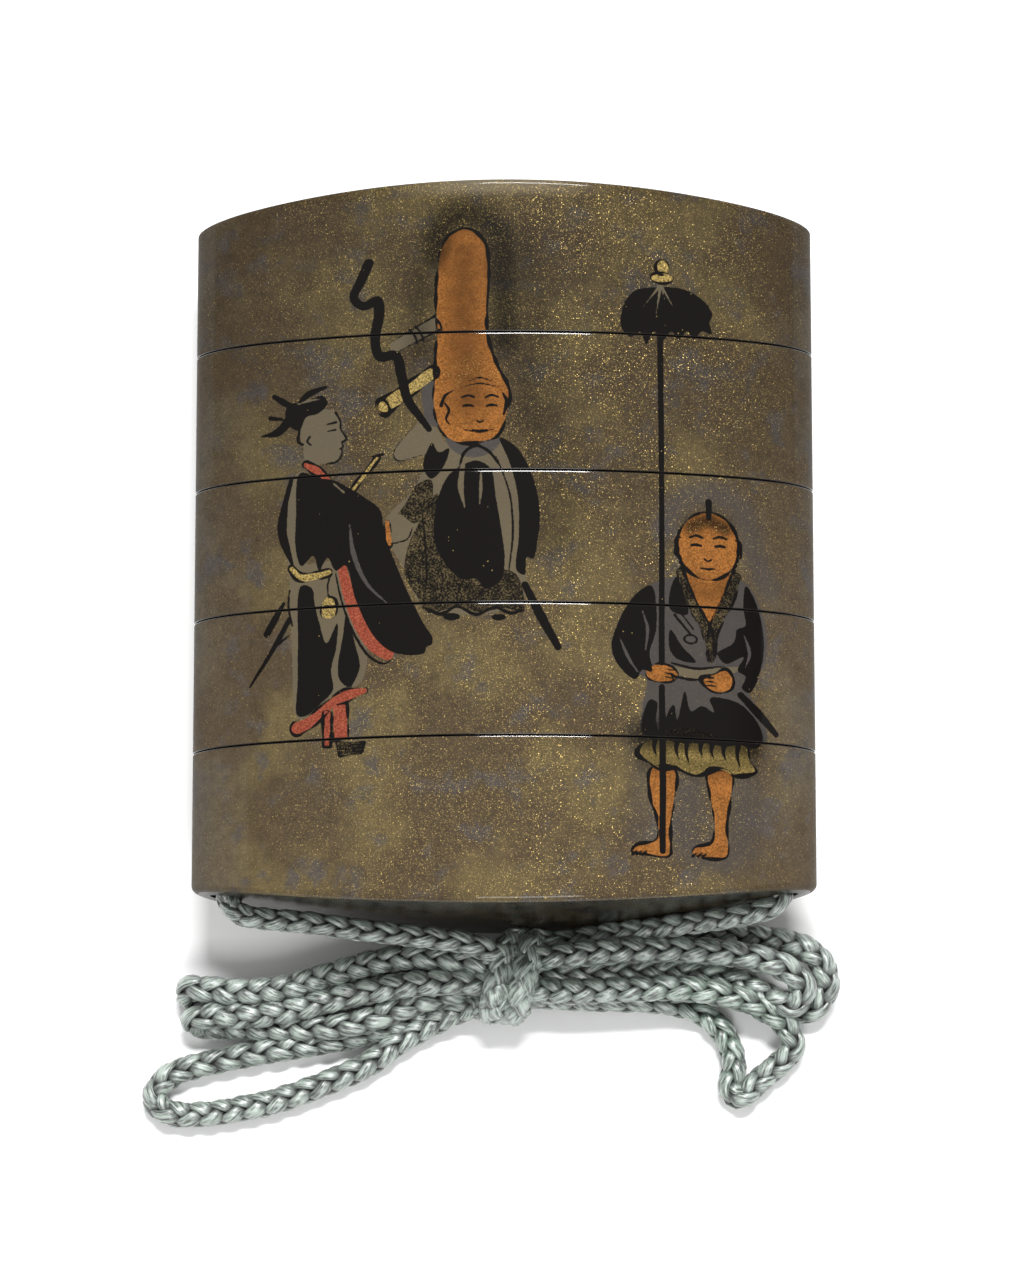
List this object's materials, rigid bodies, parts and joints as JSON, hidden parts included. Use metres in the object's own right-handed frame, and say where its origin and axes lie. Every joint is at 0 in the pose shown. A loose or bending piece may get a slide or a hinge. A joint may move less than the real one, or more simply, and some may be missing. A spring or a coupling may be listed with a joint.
{
  "type": "inro case",
  "caption": "Small flat stacked case of lacquer: a lid over four nesting cases, with a silk cord through side channels, looped and tied in a hank below.",
  "frame": {"origin": "under the middle of the case, on the surface that its flat back lies on", "axes": "+Y along the case from its bottom to its lid, +Z out of the painted front, +X across the case to the right as the front is seen with the lid up"},
  "size_m": [0.0723, 0.0942, 0.0235],
  "materials": {
    "lacquer": "glossy lacquer sprinkled with gold dust, with a painted front",
    "silk": "soft sheen of braided silk"
  },
  "bodies": {
    "root": {"lid": "lacquer", "case_1": "lacquer", "case_2": "lacquer", "case_3": "lacquer", "case_4": "lacquer", "cord_left_channel": "silk", "cord_right_channel": "silk", "cord_left_lead": "silk", "cord_right_lead": "silk", "cord_hank": "silk"}
  },
  "joints": []
}
